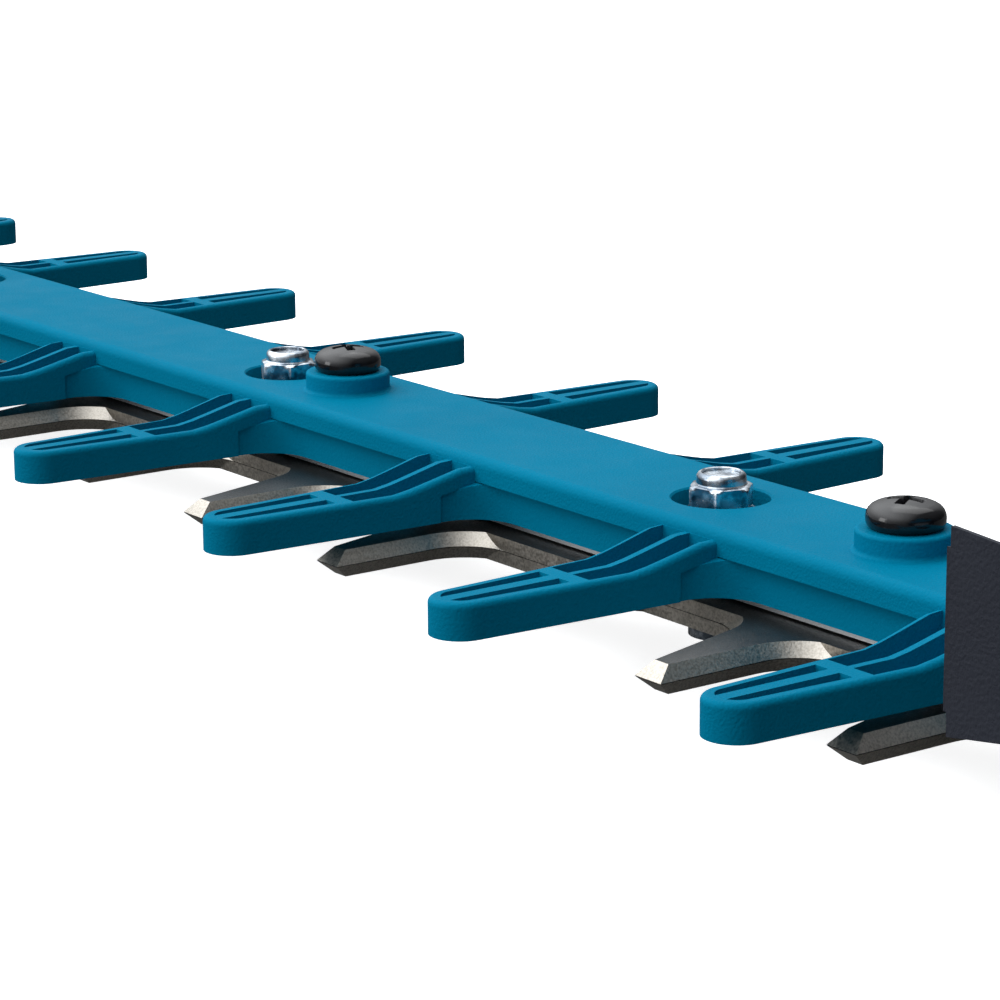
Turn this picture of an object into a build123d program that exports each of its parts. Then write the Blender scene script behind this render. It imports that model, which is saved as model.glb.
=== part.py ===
"""Cordless two-handed hedge trimmer with a plastic tooth guard over a double cutter bar.

Millimetres, +Z up.  The cutter bar runs towards -X and the handles and battery towards +X.
The origin is on the standing surface, straight below the crank axis.
"""

import os
from math import atan, cos, hypot, pi, radians, sin, tan

from build123d import *

os.makedirs("parts", exist_ok=True)

# ---------------------------------------------------------------- driving dimensions
run_clear = 0.05            # radial running clearance of a shaft in its bearing
body_gap = 0.3              # gap between pieces that move past each other

# tooth guard: a plate with a skirt below and long fingers on both sides
guard_z = 16.0              # underside of the guard above the standing surface
finger_pitch = 52.5
finger_count = 11
first_finger_x = -67.5      # axis of the near finger beside the gear case
far_finger_shift = 18.5     # the far fingers stand this much nearer the gear case
finger_reach = 52.4
finger_tip_r = 4.06
finger_flare = 2.9          # degrees that each flank opens towards the root
finger_top = 4.8            # height of the outer, level stretch of a finger
finger_root_top = 7.3       # height where the finger runs into the plate's side
outer_wall = 1.6            # wall left round a pocket outside the crossbar
outer_rib = 1.9
inner_wall = 1.0            # wall left round a pocket inside the crossbar
inner_rib = 1.0
finger_floor = 1.2
finger_edge_r = 0.8
rise_start = 25.0           # distance out where the finger's top starts to rise
rise_end = 14.2
crossbar_out = 33.7
crossbar_in = 31.2
web_edge = 17.7             # where the sunk root web starts on the finger's flank
web_step = 0.5
web_r = 7.0
web_top_out = 3.8
web_top_in = 5.0
plate_half = 12.0
plate_top = 8.73
plate_under = 5.2
plate_edge_r = 1.5
skirt_half = 10.2
skirt_inner = 8.4
guard_back_x = -54.0
guard_nose = 20.0           # guard beyond the axis of the last near finger
nut_hole_r = 6.65
nut_tube_r = 8.2
boss_r = 6.4
boss_h = 2.9

# guide bar and blades
bar_half = 8.2
bar_t = 3.0
bar_under = -1.35           # underside of the bar, from the guard's underside
bar_root_x = -14.0
bar_nose = 12.0             # bar beyond the axis of the last near finger
blade_t = 1.85
blade_gap = 0.1
blade_lift = 0.3            # gap between the bar and the upper blade
tooth_pitch = 35.0
tooth_count = 16
first_tooth_x = -64.3
far_tooth_shift = -17.5
tooth_reach = 35.3
tooth_half = 2.5
tooth_bevel = 1.2
tooth_end_bevel = 2.2
tooth_lean = 16.0           # degrees that one flank of a tooth widens towards its root
gullet_half = 12.0
gullet_r = 7.0
stroke_half = 8.75          # each blade moves this far either way
blade_nose = 8.0            # blade beyond the axis of its last near tooth

# clamp bolts of the cutter bar: M5 with spacer sleeves in the blades' slots
bolt_pitch = 105.0
bolt_count = 5
first_bolt_x = -127.5
bolt_r = 2.5
sleeve_r = 4.0
slot_clear = 0.25
nut_flats = 7.92
nut_h = 5.0
nut_seat = 7.2
spacer_r = 4.7
washer_r = 8.0
washer_t = 1.2
bolt_head_r = 4.25
bolt_head_h = 3.2

# black pan-head screws that hold the guard on the bar
screw_xs = [-91.9, -215.8, -354.2, -459.2, -564.2]
sunk_screw_x = -73.0
sunk_seat = 4.4
screw_r = 2.0
screw_hole_r = 2.2
head_r = 5.1
head_h = 3.8
cross_w = 1.3
cross_len = 5.2
cross_depth = 2.0

# crank and gears
gear_module = 1.0
crank_teeth = 60
pinion_teeth = 10
backlash = 0.25
gear_w = 7.5
crank_r = 15.0
crank_shaft_r = 5.0
yoke_wall = 5.0
bearing_r = 11.0
bearing_w = 6.0

# gear case
case_half = 35.5
case_back = 48.0
case_corner = 5.8
tongue_front = -53.5
tongue_half = 14.0
case_floor_t = 6.0
case_wall = 3.7
gear_space_h = 9.4
cover_t = 6.0
lid_t = 4.0
pad_r = 26.0
case_screw_r = 2.0

# motor
motor_r = 24.0
motor_h = 50.0
motor_wall = 1.6
motor_shaft_r = 2.5
motor_bearing_r = 8.0
motor_bearing_w = 5.0
stator_in_r = 14.0
stator_h = 26.0
fan_r = 25.0
fan_blades = 11

# housing
shell_t = 2.8
hood_half = 40.0
hood_front = -34.0
hood_back = 72.0
hood_top = 58.0
hood_low = 20.4
hood_corner_r = 10.0
dome_r = 34.0
dome_top = 114.0
dome_round = 14.0
body_half = 19.0
body_round = 8.0
body_corner = 12.0
cheek_front = -42.6
cheek_t = 3.2
cheek_top = 43.8
nose_top = 40.0
nose_t = 2.4
boss_post_r = 5.0
post_screw_r = 2.0
grip_skin = 1.6

# battery
pack_front = 214.0
pack_len = 112.0
pack_half = 37.0
pack_h = 54.0
pack_wall = 2.5
neck_half = 20.0
head_half = 24.0
neck_h = 3.0
rail_gap = 0.4
rail_t = 5.6
mount_t = 4.0
cell_r = 9.2
cell_len = 65.0

# handles and guard plate
front_handle_x = 112.0
front_handle_half = 82.0
front_handle_top = 168.0
front_handle_r = 13.5
handle_base_z = 58.0
shield_x = 80.0
shield_half = 92.0
shield_top = 148.0
shield_low = 34.0
shield_t = 4.0
shield_bend_r = 230.0

# ---------------------------------------------------------------- worked-out places
last_finger_x = first_finger_x - finger_pitch * (finger_count - 1)
guard_tip_x = last_finger_x - guard_nose
bar_tip_x = last_finger_x - bar_nose
bar_top_z = guard_z + bar_under + bar_t
upper_top_z = guard_z + bar_under - blade_lift
upper_low_z = upper_top_z - blade_t
lower_top_z = upper_low_z - blade_gap
lower_low_z = lower_top_z - blade_t
bolt_xs = [first_bolt_x - bolt_pitch * i for i in range(bolt_count)]
near_fingers = [first_finger_x - finger_pitch * i for i in range(finger_count)]
far_fingers = [x + far_finger_shift for x in near_fingers[2:]]
near_teeth = [first_tooth_x - tooth_pitch * i for i in range(tooth_count)]
far_teeth = [x + far_tooth_shift for x in near_teeth[:-1]]
blade_tip_x = near_teeth[-1] - blade_nose
crank_pitch_r = gear_module * crank_teeth / 2
pinion_pitch_r = gear_module * pinion_teeth / 2
motor_x = crank_pitch_r + pinion_pitch_r
window_half = crank_r + stroke_half + body_gap
yoke_half = window_half + yoke_wall
case_floor_z = bar_top_z
case_floor_top = case_floor_z + case_floor_t
case_top = case_floor_top + gear_space_h
cover_top = case_top + cover_t
lid_top = lower_low_z - 1.9
lid_low = lid_top - lid_t
pack_back = pack_front + pack_len
pack_top = pack_h + 2 * neck_h
foot_z = pack_top + rail_gap + mount_t
case_front = -(yoke_half + stroke_half + 0.8) - case_wall


def write(piece, name):
    """Label a finished piece and write it as its own STEP file."""
    piece.part.label = name
    export_step(piece.part, "parts/" + name + ".step")


# ---------------------------------------------------------------- tooth guard
def flank(distance, inset=0.0):
    """Half width of a finger at a distance out from the centreline."""
    slope = tan(radians(finger_flare))
    tip_centre = finger_reach - finger_tip_r
    return (finger_tip_r - inset) / cos(radians(finger_flare)) + (tip_centre - distance) * slope


def finger_outline(inset, root):
    """Plan of a finger that points to -Y: straight flanks closed by a round tip."""
    tip_centre = finger_reach - finger_tip_r
    with BuildSketch() as plan:
        with BuildLine():
            root_left = (-flank(root, inset), -root)
            root_right = (flank(root, inset), -root)
            side_left = (-flank(tip_centre, inset), -tip_centre)
            side_right = (flank(tip_centre, inset), -tip_centre)
            Line(root_right, root_left)
            Line(root_left, side_left)
            ThreePointArc(side_left, (0, -finger_reach + inset), side_right)
            Line(side_right, root_right)
        make_face()
    return plan.sketch


finger_plan = finger_outline(0, plate_half - 1)
outer_pocket_plan = finger_outline(outer_wall, crossbar_out)
inner_pocket_plan = finger_outline(inner_wall, plate_half + 0.1)

with BuildPart() as finger:
    add(finger_plan)
    extrude(amount=finger_root_top)
    # the top is level outside, then rises in a double curve to the plate's side
    with BuildSketch(Plane.YZ) as roof:
        with BuildLine():
            out = -finger_reach - 1
            Polyline((-plate_half + 1.2, finger_root_top), (-plate_half + 1.2, -1), (out, -1), (out, finger_top))
            Line((out, finger_top), (-rise_start, finger_top))
            Spline(
                (-rise_start, finger_top),
                (-rise_end, finger_root_top - 0.15),
                tangents=[(1, 0.12), (1, 0.2)],
            )
            Line((-rise_end, finger_root_top - 0.15), (-plate_half + 1.2, finger_root_top))
        make_face()
    extrude(amount=finger_tip_r * 3, both=True, mode=Mode.INTERSECT)
    rim = finger.edges().filter_by(lambda e: e.center().Z > finger_top - 0.3 and e.center().Y < -plate_half)
    fillet(rim, finger_edge_r)
    # the flank below the sunk web is cut away and filled again by the web
    with BuildSketch(Plane.YZ) as web_side:
        with BuildLine():
            Polyline(
                (-plate_half + 1, -1), (-web_edge, -1), (-web_edge, web_top_out),
                (-plate_half, web_top_in), (-plate_half + 1, web_top_in), close=True,
            )
        make_face()
    extrude(amount=finger_tip_r * 3, both=True, mode=Mode.SUBTRACT)

with BuildPart() as web:
    with BuildSketch():
        with BuildLine():
            reach = flank(web_edge) - web_step
            wall_x = reach + web_r + 0.2
            arc_mid = web_r * (1 - cos(pi / 4))
            Line((-reach, -web_edge), (reach, -web_edge))
            Line((reach, -web_edge), (reach + 0.2, -skirt_half - web_r))
            ThreePointArc(
                (reach + 0.2, -skirt_half - web_r),
                (reach + 0.2 + arc_mid, -skirt_half - arc_mid),
                (wall_x, -skirt_half),
            )
            Polyline((wall_x, -skirt_half), (wall_x, -skirt_inner), (-wall_x, -skirt_inner), (-wall_x, -skirt_half))
            ThreePointArc(
                (-wall_x, -skirt_half),
                (-reach - 0.2 - arc_mid, -skirt_half - arc_mid),
                (-reach - 0.2, -skirt_half - web_r),
            )
            Line((-reach - 0.2, -skirt_half - web_r), (-reach, -web_edge))
        make_face()
    extrude(amount=plate_under)
    with BuildSketch(Plane.YZ):
        with BuildLine():
            Polyline(
                (-skirt_inner + 1, 0), (-web_edge, 0), (-web_edge, web_top_out),
                (-plate_half, web_top_in), (-skirt_half, plate_under), (-skirt_inner + 1, plate_under), close=True,
            )
        make_face()
    extrude(amount=wall_x * 2, both=True, mode=Mode.INTERSECT)

with BuildPart() as finger_unit:
    add(finger.part)
    add(web.part)
    # open pockets either side of the middle rib, parted by a crossbar
    with BuildSketch(Plane.XY.offset(finger_floor)):
        add(outer_pocket_plan)
        with Locations((0, -finger_reach / 2)):
            Rectangle(outer_rib, finger_reach, mode=Mode.SUBTRACT)
    with BuildSketch(Plane.XY.offset(finger_floor)):
        add(inner_pocket_plan)
        with Locations((0, -finger_reach / 2)):
            Rectangle(inner_rib, finger_reach, mode=Mode.SUBTRACT)
        with Locations((0, -crossbar_in - finger_reach / 2)):
            Rectangle(4 * finger_tip_r, finger_reach, mode=Mode.SUBTRACT)
    extrude(amount=finger_root_top, mode=Mode.SUBTRACT)

guard_len = guard_back_x - guard_tip_x
with BuildPart() as tooth_guard:
    # plate with a round nose and soft upper edges
    with BuildSketch(Plane.XY.offset(guard_z + plate_under)):
        with BuildLine():
            Line((guard_back_x, -plate_half), (guard_tip_x + plate_half, -plate_half))
            ThreePointArc(
                (guard_tip_x + plate_half, -plate_half),
                (guard_tip_x, 0),
                (guard_tip_x + plate_half, plate_half),
            )
            Polyline(
                (guard_tip_x + plate_half, plate_half), (guard_back_x, plate_half), (guard_back_x, -plate_half)
            )
        make_face()
    extrude(amount=plate_top - plate_under)
    brow = tooth_guard.faces().sort_by(Axis.Z)[-1].edges().filter_by(lambda e: e.center().X < guard_back_x - 1)
    fillet(brow, plate_edge_r)
    # skirt below the plate, hollow for the guide bar
    with BuildSketch(Plane.XY.offset(guard_z)):
        with BuildLine():
            Line((guard_back_x, -skirt_half), (guard_tip_x + plate_half, -skirt_half))
            ThreePointArc(
                (guard_tip_x + plate_half, -skirt_half),
                (guard_tip_x + plate_half - skirt_half, 0),
                (guard_tip_x + plate_half, skirt_half),
            )
            Polyline(
                (guard_tip_x + plate_half, skirt_half), (guard_back_x, skirt_half), (guard_back_x, -skirt_half)
            )
        make_face()
    extrude(amount=plate_under)
    near_units = [Pos(x, 0, guard_z) * finger_unit.part for x in near_fingers]
    far_units = [Pos(x, 0, guard_z) * Rot(0, 0, 180) * finger_unit.part for x in far_fingers]
    add(near_units + far_units)
    with Locations(((bar_tip_x + guard_back_x) / 2 - 0.3, 0, guard_z + plate_under / 2)):
        Box(guard_back_x - bar_tip_x + 2, 2 * skirt_inner, plate_under, mode=Mode.SUBTRACT)
    # tubes round the nuts, and bosses under the screws, stand on the bar
    with BuildSketch(Plane.XY.offset(bar_top_z)):
        with Locations(*[(x, 0) for x in bolt_xs + [sunk_screw_x]]):
            Circle(nut_tube_r)
        with Locations(*[(x, 0) for x in screw_xs]):
            Circle(boss_r)
    extrude(amount=guard_z + plate_under - bar_top_z)
    with BuildSketch(Plane.XY.offset(guard_z + plate_top)):
        with Locations(*[(x, 0) for x in screw_xs]):
            Circle(boss_r)
    extrude(amount=boss_h)
    ring = tooth_guard.edges().filter_by(GeomType.CIRCLE).filter_by(lambda e: abs(e.radius - boss_r) < 0.01)
    foot_ring = ring.filter_by(lambda e: abs(e.center().Z - guard_z - plate_top) < 0.01)
    fillet(foot_ring, 0.6)
    ring = tooth_guard.edges().filter_by(GeomType.CIRCLE).filter_by(lambda e: abs(e.radius - boss_r) < 0.01)
    top_ring = ring.filter_by(lambda e: abs(e.center().Z - guard_z - plate_top - boss_h) < 0.01)
    fillet(top_ring, 0.5)
    with Locations(*[(x, 0, guard_z + plate_top) for x in bolt_xs]):
        Hole(nut_hole_r, plate_top)
    with Locations((sunk_screw_x, 0, guard_z + plate_top)):
        CounterBoreHole(screw_hole_r, nut_hole_r, plate_top - sunk_seat, plate_top)
    with Locations(*[(x, 0, guard_z + plate_top + boss_h) for x in screw_xs]):
        Hole(screw_hole_r, plate_top + boss_h)
    mouth = tooth_guard.edges().filter_by(GeomType.CIRCLE).filter_by(
        lambda e: abs(e.radius - nut_hole_r) < 0.01 and abs(e.center().Z - guard_z - plate_top) < 0.01
    )
    chamfer(mouth, 0.25)
write(tooth_guard, "tooth_guard")

# ---------------------------------------------------------------- guide bar
with BuildPart() as guide_bar:
    with BuildSketch(Plane.XY.offset(guard_z + bar_under)):
        with BuildLine():
            Line((bar_root_x, -bar_half), (bar_tip_x + bar_half, -bar_half))
            ThreePointArc((bar_tip_x + bar_half, -bar_half), (bar_tip_x, 0), (bar_tip_x + bar_half, bar_half))
            Polyline((bar_tip_x + bar_half, bar_half), (bar_root_x, bar_half), (bar_root_x, -bar_half))
        make_face()
    extrude(amount=bar_t)
    bar_root_screws_x = [bar_root_x - 9, bar_root_x - 21, bar_root_x - 33]
    with Locations(*[(x, 0, bar_top_z) for x in bolt_xs]):
        Hole(bolt_r, bar_t)
    with Locations(*[(x, 0, bar_top_z) for x in screw_xs + [sunk_screw_x] + bar_root_screws_x]):
        Hole(screw_r, bar_t)
write(guide_bar, "guide_bar")


# ---------------------------------------------------------------- blades
def tooth_outline(inset, end_inset):
    """Plan of a tooth that points to -Y: a straight flank, a leaning flank, and round webs into the wall."""
    half = tooth_half - inset
    arc_r = gullet_r + inset
    wall_y = -(gullet_half - inset)
    root_y = wall_y - arc_r
    wall_x = half + arc_r
    mid = arc_r * (1 - cos(pi / 4))
    tip_y = -tooth_reach + end_inset
    # the leaning flank would meet the wall at corner_x; its web starts and ends that far from the corner
    lean = radians(tooth_lean)
    corner_x = -half - (wall_y - tip_y) * tan(lean)
    reach = arc_r * tan((pi / 2 - lean) / 2)
    web_start = (corner_x + reach * sin(lean), wall_y - reach * cos(lean))
    web_end = (corner_x - reach, wall_y)
    pull = arc_r / hypot(reach, arc_r)
    web_mid = (web_end[0] + pull * reach, wall_y - arc_r + pull * arc_r)
    with BuildSketch() as plan:
        with BuildLine():
            Line((half, tip_y), (half, root_y))
            ThreePointArc((half, root_y), (half + mid, wall_y - mid), (wall_x, wall_y))
            Polyline((wall_x, wall_y), (wall_x, -6), (web_end[0], -6), web_end)
            ThreePointArc(web_end, web_mid, web_start)
            Polyline(web_start, (-half, tip_y), (half, tip_y))
        make_face()
    return plan.sketch


with BuildPart() as tooth:
    with BuildSketch():
        add(tooth_outline(0, 0))
    with BuildSketch(Plane.XY.offset(blade_t)):
        add(tooth_outline(tooth_bevel, tooth_end_bevel))
    loft(ruled=True)

tooth_turned = mirror(tooth.part, about=Plane.YZ)


def blade(low_z, bevel_down):
    """One shear blade: toothed strip, slots for the bolt sleeves, and the yoke of the crank."""
    level = low_z + (blade_t if bevel_down else 0)
    near_turn = Rot(180, 0, 180) if bevel_down else Rot(0, 0, 0)
    far_turn = Rot(180, 0, 0) if bevel_down else Rot(0, 0, 180)
    with BuildPart() as strip:
        with BuildSketch(Plane.XY.offset(low_z)):
            with Locations(((blade_tip_x - yoke_half + 1) / 2, 0)):
                Rectangle(-yoke_half + 1 - blade_tip_x, 2 * gullet_half)
            RectangleRounded(2 * yoke_half, 2 * yoke_half, yoke_wall)
            Rectangle(2 * window_half, 2 * window_half, mode=Mode.SUBTRACT)
            slot_w = 2 * (sleeve_r + slot_clear)
            with Locations(*[(x, 0) for x in bolt_xs]):
                SlotOverall(slot_w + 2 * (stroke_half + slot_clear), slot_w, mode=Mode.SUBTRACT)
        extrude(amount=blade_t)
        one_tooth = tooth_turned if bevel_down else tooth.part
        near_row = [Pos(x, 0, level) * near_turn * one_tooth for x in near_teeth]
        far_row = [Pos(x, 0, level) * far_turn * one_tooth for x in far_teeth]
        add(near_row + far_row)
        # the last web ends with the strip
        split(bisect_by=Plane.YZ.offset(blade_tip_x), keep=Keep.TOP)
    return strip


upper_blade = blade(upper_low_z, False)
lower_blade = blade(lower_low_z, True)
write(upper_blade, "upper_blade")
write(lower_blade, "lower_blade")

# ---------------------------------------------------------------- clamp bolts of the cutter bar
washer_top = lower_low_z - slot_clear
washer_low = washer_top - washer_t
nut_low = guard_z + nut_seat

with BuildPart() as blade_bolts:
    with BuildSketch(Plane.XY.offset(washer_low - bolt_head_h)):
        with Locations(*[(x, 0) for x in bolt_xs]):
            Circle(bolt_head_r)
    extrude(amount=bolt_head_h)
    with BuildSketch(Plane.XY.offset(washer_low)):
        with Locations(*[(x, 0) for x in bolt_xs]):
            Circle(bolt_r)
    extrude(amount=nut_low + nut_h - 0.4 - washer_low)
    with BuildSketch(Plane.XY.offset(washer_low - bolt_head_h)):
        with Locations(*[(x, 0) for x in bolt_xs]):
            RegularPolygon(2.0, 6)
    extrude(amount=1.8, mode=Mode.SUBTRACT)
write(blade_bolts, "blade_bolts")

with BuildPart() as bolt_sleeves:
    with BuildSketch(Plane.XY.offset(washer_top)):
        with Locations(*[(x, 0) for x in bolt_xs]):
            Circle(sleeve_r)
            Circle(bolt_r, mode=Mode.SUBTRACT)
    extrude(amount=guard_z + bar_under - washer_top)
write(bolt_sleeves, "bolt_sleeves")

with BuildPart() as blade_washers:
    with BuildSketch(Plane.XY.offset(washer_low)):
        with Locations(*[(x, 0) for x in bolt_xs]):
            Circle(washer_r)
            Circle(bolt_r, mode=Mode.SUBTRACT)
    extrude(amount=washer_t)
write(blade_washers, "blade_washers")

with BuildPart() as nut_spacers:
    with BuildSketch(Plane.XY.offset(bar_top_z)):
        with Locations(*[(x, 0) for x in bolt_xs]):
            Circle(spacer_r)
            Circle(bolt_r, mode=Mode.SUBTRACT)
    extrude(amount=nut_low - bar_top_z)
write(nut_spacers, "nut_spacers")

# prevailing-torque hex nut: chamfered hexagon under a round collar
with BuildPart() as one_nut:
    with BuildSketch():
        RegularPolygon(nut_flats / 2, 6, major_radius=False, rotation=18)
    extrude(amount=nut_h)
    with BuildSketch(Plane.XZ):
        with BuildLine():
            Polyline(
                (0, 0), (nut_flats / 2, 0), (nut_flats / 2 + 0.75, 0.45), (nut_flats / 2 + 0.75, nut_h * 0.62),
                (nut_flats / 2 - 0.1, nut_h * 0.72), (nut_flats / 2 - 0.35, nut_h - 0.6),
                (nut_flats / 2 - 0.95, nut_h), (0, nut_h), close=True,
            )
        make_face()
    revolve(axis=Axis.Z, mode=Mode.INTERSECT)
    with Locations((0, 0, nut_h)):
        Hole(bolt_r, nut_h)

with BuildPart() as lock_nuts:
    add([Pos(x, 0, nut_low) * one_nut.part for x in bolt_xs])
write(lock_nuts, "lock_nuts")

# ---------------------------------------------------------------- guard screws
with BuildPart() as one_screw:
    with BuildSketch(Plane.XZ):
        with BuildLine():
            Polyline((0, 0), (0, head_h), (1.6, head_h))
            Spline(
                (1.6, head_h), (head_r - 0.75, head_h - 0.85), (head_r, head_h - 2.3),
                tangents=[(1, 0), (0, -1)],
            )
            Polyline((head_r, head_h - 2.3), (head_r, 0.35), (head_r - 0.35, 0), (0, 0))
        make_face()
    revolve(axis=Axis.Z)
    with BuildSketch(Plane.XY.offset(head_h)):
        Rectangle(cross_len, cross_w)
        Rectangle(cross_w, cross_len)
    extrude(amount=-cross_depth, taper=12, mode=Mode.SUBTRACT)

with BuildPart() as guard_screws:
    shank_low = guard_z + bar_under
    sunk_z = guard_z + sunk_seat
    proud_z = guard_z + plate_top + boss_h
    add([Pos(x, 0, proud_z) * Rot(0, 0, 25) * one_screw.part for x in screw_xs])
    add([Pos(sunk_screw_x, 0, sunk_z) * one_screw.part])
    with BuildSketch(Plane.XY.offset(shank_low)):
        with Locations(*[(x, 0) for x in screw_xs]):
            Circle(screw_r)
    extrude(amount=proud_z - shank_low)
    with BuildSketch(Plane.XY.offset(shank_low)):
        with Locations((sunk_screw_x, 0)):
            Circle(screw_r)
    extrude(amount=sunk_z - shank_low)
write(guard_screws, "guard_screws")

# ---------------------------------------------------------------- gear case
cavity_x = yoke_half + stroke_half + 0.8
cavity_y = yoke_half + 0.6
crank_out_r = crank_pitch_r + 0.8 * gear_module
pinion_out_r = pinion_pitch_r + gear_module
case_screw_xy = [(case_front + 8.5, -29.5), (case_front + 8.5, 29.5), (41, -29.5), (41, 29.5)]
lid_screw_xy = [(x, side * (case_half - 2.9)) for x in (-25, 5, 35) for side in (-1, 1)]
root_seat = case_floor_z + 2.6
root_head_r = 4.0
root_head_h = 3.0


def case_outline():
    """Plan of the gear case, with its two front corners cut off."""
    with BuildSketch() as plan:
        with BuildLine():
            Polyline(
                (case_front, -case_half + case_corner), (case_front + case_corner, -case_half),
                (case_back, -case_half), (case_back, case_half),
                (case_front + case_corner, case_half), (case_front, case_half - case_corner), close=True,
            )
        make_face()
        fillet(plan.vertices().group_by(Axis.X)[-1], 7)
    return plan.sketch


with BuildPart() as gear_case:
    with BuildSketch(Plane.XY.offset(lid_top)):
        add(case_outline())
    extrude(amount=case_top - lid_top)
    with BuildSketch(Plane.XY.offset(case_floor_z)):
        with Locations(((tongue_front + case_front) / 2 + 1, 0)):
            Rectangle(case_front - tongue_front + 2, 2 * tongue_half)
    extrude(amount=case_top - case_floor_z)
    with BuildSketch(Plane.XY.offset(lid_top)):
        RectangleRounded(2 * cavity_x, 2 * cavity_y, 4)
        with Locations((case_front, 0)):
            Rectangle(4 * case_wall, 2 * (gullet_half + 0.6))
    extrude(amount=case_floor_z - lid_top, mode=Mode.SUBTRACT)
    with BuildSketch(Plane.XY.offset(case_floor_top)):
        Circle(crank_out_r + 0.8)
        with Locations((motor_x, 0)):
            Circle(pinion_out_r + 0.8)
    extrude(amount=case_top - case_floor_top, mode=Mode.SUBTRACT)
    with Locations((0, 0, case_floor_top)):
        Hole(bearing_r, case_floor_t)
    with Locations(*[(x, 0, case_top) for x in bar_root_screws_x]):
        CounterBoreHole(screw_hole_r, root_head_r + 0.3, case_top - root_seat, case_top - case_floor_z)
    with Locations(*[(x, y, case_top) for x, y in case_screw_xy]):
        Hole(case_screw_r, gear_space_h)
    with Locations(*[(x, y, lid_top) for x, y in lid_screw_xy]):
        Cylinder(case_screw_r, 14, mode=Mode.SUBTRACT)
write(gear_case, "gear_case")

with BuildPart() as gear_case_cover:
    with BuildSketch(Plane.XY.offset(case_top)):
        add(case_outline())
        Circle(bearing_r, mode=Mode.SUBTRACT)
        with Locations((motor_x, 0)):
            Circle(pinion_out_r + 0.8, mode=Mode.SUBTRACT)
    extrude(amount=cover_t)
    rim = gear_case_cover.faces().sort_by(Axis.Z)[-1].outer_wire().edges()
    chamfer(rim, 1)
    with Locations(*[(x, y, cover_top) for x, y in case_screw_xy]):
        CounterBoreHole(case_screw_r, 3.8, 3, cover_t)
write(gear_case_cover, "gear_case_cover")

with BuildPart() as bottom_cover:
    with BuildSketch(Plane.XY.offset(lid_low)):
        add(case_outline())
    extrude(amount=lid_t)
    with BuildSketch():
        Circle(pad_r)
    extrude(amount=lid_low)
    rim = bottom_cover.edges().filter_by(lambda e: e.center().Z < 0.01)
    chamfer(rim, 1.2)
    with Locations(*[(x, y, lid_low) for x, y in lid_screw_xy]):
        Cylinder(case_screw_r, 3 * lid_t, mode=Mode.SUBTRACT)
write(bottom_cover, "bottom_cover")


def cap_screws(places, seat_z, direction, shank, head_radius, head_height):
    """Round-head screws with a hexagon socket: heads on one side of the seat, shanks on the other."""
    with BuildPart() as group:
        with BuildSketch(Plane.XY.offset(seat_z)):
            with Locations(*places):
                Circle(head_radius)
        extrude(amount=direction * head_height)
        with BuildSketch(Plane.XY.offset(seat_z)):
            with Locations(*places):
                Circle(case_screw_r)
        extrude(amount=-direction * shank)
        with BuildSketch(Plane.XY.offset(seat_z + direction * head_height)):
            with Locations(*places):
                RegularPolygon(head_radius * 0.5, 6)
        extrude(amount=-direction * head_height * 0.6, mode=Mode.SUBTRACT)
    return group


case_screws = cap_screws(case_screw_xy, cover_top - 3, 1, cover_t - 3 + gear_space_h, 3.5, 2.9)
write(case_screws, "case_screws")
bottom_cover_screws = cap_screws(lid_screw_xy, lid_low, -1, lid_t + 7, 3.5, 2.2)
write(bottom_cover_screws, "bottom_cover_screws")
root_places = [(x, 0) for x in bar_root_screws_x]
bar_root_screws = cap_screws(root_places, root_seat, 1, root_seat - guard_z - bar_under, root_head_r, root_head_h)
write(bar_root_screws, "bar_root_screws")

# ---------------------------------------------------------------- crank
pressure = radians(25)


def gear_outline(teeth, tip_r, bore_r, phase):
    """Involute gear: each flank unwinds from the base circle, thinned by the backlash."""
    pitch_r = gear_module * teeth / 2
    base_r = pitch_r * cos(pressure)
    root_r = pitch_r - 1.25 * gear_module
    half_pitch = (pi * gear_module / 2 - backlash) / (2 * pitch_r)
    spread = tan(pressure) - pressure
    steps = 5
    low_r = max(base_r, root_r)
    flank_pts = []
    for i in range(steps):
        r = low_r + (tip_r - low_r) * i / (steps - 1)
        unwind = (r * r / (base_r * base_r) - 1) ** 0.5 if r > base_r else 0.0
        roll = unwind - atan(unwind)
        flank_pts.append((r, half_pitch + spread - roll))
    outline = []
    for tooth_index in range(teeth):
        middle = phase + 2 * pi * tooth_index / teeth
        outline.append((root_r, middle - flank_pts[0][1]))
        outline += [(r, middle - a) for r, a in flank_pts if r > root_r]
        outline += [(r, middle + a) for r, a in reversed(flank_pts) if r > root_r]
        outline.append((root_r, middle + flank_pts[0][1]))
    with BuildSketch() as plan:
        with BuildLine():
            Polyline(*[(r * cos(a), r * sin(a)) for r, a in outline], close=True)
        make_face()
        Circle(bore_r, mode=Mode.SUBTRACT)
    return plan.sketch


gear_low = case_floor_top + 0.95
with BuildPart() as crank_gear:
    with BuildSketch(Plane.XY.offset(gear_low)):
        add(gear_outline(crank_teeth, crank_out_r, crank_shaft_r, 0))
    extrude(amount=gear_w)
    with BuildSketch(Plane.XY.offset(gear_low + gear_w - 1.5)):
        Circle(crank_pitch_r - 5)
        Circle(crank_shaft_r + 5, mode=Mode.SUBTRACT)
    extrude(amount=1.5, mode=Mode.SUBTRACT)
    with PolarLocations(17, 6):
        Cylinder(4.5, 4 * case_top, mode=Mode.SUBTRACT)
write(crank_gear, "crank_gear")

shaft_low = lower_low_z - 0.4
shaft_high = cover_top - 0.5
with BuildPart() as crank_shaft:
    with BuildSketch(Plane.XY.offset(shaft_low)):
        Circle(crank_shaft_r)
    extrude(amount=shaft_high - shaft_low)
    ends = crank_shaft.edges().filter_by(GeomType.CIRCLE)
    chamfer(ends, 0.5)
write(crank_shaft, "crank_shaft")


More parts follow.
